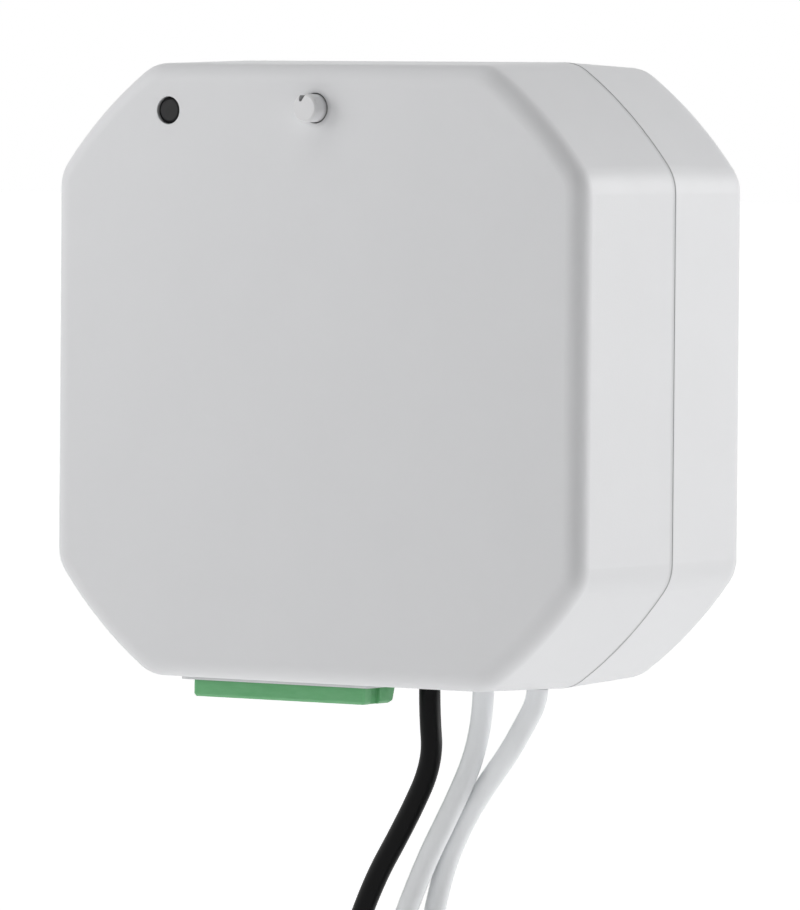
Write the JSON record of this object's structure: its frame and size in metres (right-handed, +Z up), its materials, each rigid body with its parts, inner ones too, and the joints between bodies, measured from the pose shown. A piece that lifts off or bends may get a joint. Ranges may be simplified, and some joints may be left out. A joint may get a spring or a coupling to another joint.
{
  "type": "roller shutter module",
  "caption": "Flush smart home module for roller shutters: octagonal two-shell casing with a push button, an indicator window, a green screw terminal and switch leads.",
  "frame": {"origin": "centre of the casing's flat rear face", "axes": "+X to the right seen from the front, +Y towards the back, +Z up; the front face looks along -Y"},
  "size_m": [0.047, 0.0237, 0.1393],
  "materials": {
    "casing_front": "fine satin",
    "casing_rear": "fine satin",
    "button": "satin",
    "indicator_lens": "smoked, polished",
    "status_led": "clear resin",
    "switch_body": "moulded",
    "switch_stem": "moulded",
    "board": "solder resist",
    "terminal_green": "moulded, semi-gloss",
    "contact_pins": "tinned",
    "relay_case": "moulded",
    "film_capacitor": "moulded",
    "varistor": "dipped",
    "transformer": "taped",
    "capacitor_sleeve": "sleeved can",
    "fuse": "moulded",
    "chip": "moulded",
    "inductor": "ferrite",
    "header": "moulded",
    "radio_board": "solder resist",
    "radio_shield": "tinned can",
    "antenna": "insulated wire",
    "lead_tails": "insulated wire",
    "insulation_black": "extruded, satin",
    "insulation_white": "extruded, satin",
    "tinned_wire": "tinned",
    "screw": "zinc plated",
    "cage": "nickel plated"
  },
  "bodies": {
    "module": {"front_cover": "casing_front", "rear_case": "casing_rear", "terminal_housing": "terminal_green", "main_board": "board", "switch_body": "switch_body", "status_led": "status_led", "indicator_lens": "indicator_lens", "contact_pins": "contact_pins", "relay_up": "relay_case", "relay_down": "relay_case", "mains_capacitor": "film_capacitor", "varistor": "varistor", "power_transformer": "transformer", "bulk_capacitor": "capacitor_sleeve", "smoothing_capacitor": "capacitor_sleeve", "fuse": "fuse", "bridge_rectifier": "chip", "power_chip": "chip", "controller_chip": "chip", "power_inductor": "inductor", "radio_header": "header", "radio_board": "radio_board", "radio_shield": "radio_shield", "antenna": "antenna", "lead_tails": "lead_tails", "lead_black": "insulation_black", "lead_white_1": "insulation_white", "lead_white_2": "insulation_white", "lead_black_tip": "tinned_wire", "lead_white_1_tip": "tinned_wire", "lead_white_2_tip": "tinned_wire"},
    "button": {"push_button": "button"},
    "switch_plunger": {"switch_stem": "switch_stem"},
    "screw_1": {"terminal_screw_1": "screw"},
    "clamp_1": {"clamp_cage_1": "cage"},
    "screw_2": {"terminal_screw_2": "screw"},
    "clamp_2": {"clamp_cage_2": "cage"},
    "screw_3": {"terminal_screw_3": "screw"},
    "clamp_3": {"clamp_cage_3": "cage"},
    "screw_4": {"terminal_screw_4": "screw"},
    "clamp_4": {"clamp_cage_4": "cage"}
  },
  "joints": [
    {"name": "button_press", "type": "slide", "parent": "module", "child": "button", "axis": [0, 1, 0], "range_m": [0, 0.0003], "stiffness_N_per_m": 300, "springref_m": -0.001},
    {"name": "switch_travel", "type": "slide", "parent": "module", "child": "switch_plunger", "axis": [0, 1, 0], "range_m": [0, 0.0003]},
    {"name": "screw_1_turn", "type": "hinge", "parent": "module", "child": "screw_1", "pos_m": [-0.01217, -0.00925, -0.0183], "axis": [0, -1, 0], "range_deg": [0, 1260]},
    {"name": "clamp_1_lift", "type": "slide", "parent": "module", "child": "clamp_1", "axis": [0, 1, 0], "range_m": [0, 0.0014]},
    {"name": "screw_2_turn", "type": "hinge", "parent": "module", "child": "screw_2", "pos_m": [-0.00835, -0.00925, -0.0183], "axis": [0, -1, 0], "range_deg": [0, 1260]},
    {"name": "clamp_2_lift", "type": "slide", "parent": "module", "child": "clamp_2", "axis": [0, 1, 0], "range_m": [0, 0.0014]},
    {"name": "screw_3_turn", "type": "hinge", "parent": "module", "child": "screw_3", "pos_m": [-0.00455, -0.00925, -0.0183], "axis": [0, -1, 0], "range_deg": [0, 1260]},
    {"name": "clamp_3_lift", "type": "slide", "parent": "module", "child": "clamp_3", "axis": [0, 1, 0], "range_m": [0, 0.0014]},
    {"name": "screw_4_turn", "type": "hinge", "parent": "module", "child": "screw_4", "pos_m": [-0.00073, -0.00925, -0.0183], "axis": [0, -1, 0], "range_deg": [0, 1260]},
    {"name": "clamp_4_lift", "type": "slide", "parent": "module", "child": "clamp_4", "axis": [0, 1, 0], "range_m": [0, 0.0014]}
  ],
  "couplings": [
    {"joint": "switch_travel", "follows": "button_press", "ratio": 1},
    {"joint": "screw_1_turn", "follows": "clamp_1_lift", "rad_per_m": 15708},
    {"joint": "screw_2_turn", "follows": "clamp_2_lift", "rad_per_m": 15708},
    {"joint": "screw_3_turn", "follows": "clamp_3_lift", "rad_per_m": 15708},
    {"joint": "screw_4_turn", "follows": "clamp_4_lift", "rad_per_m": 15708}
  ]
}
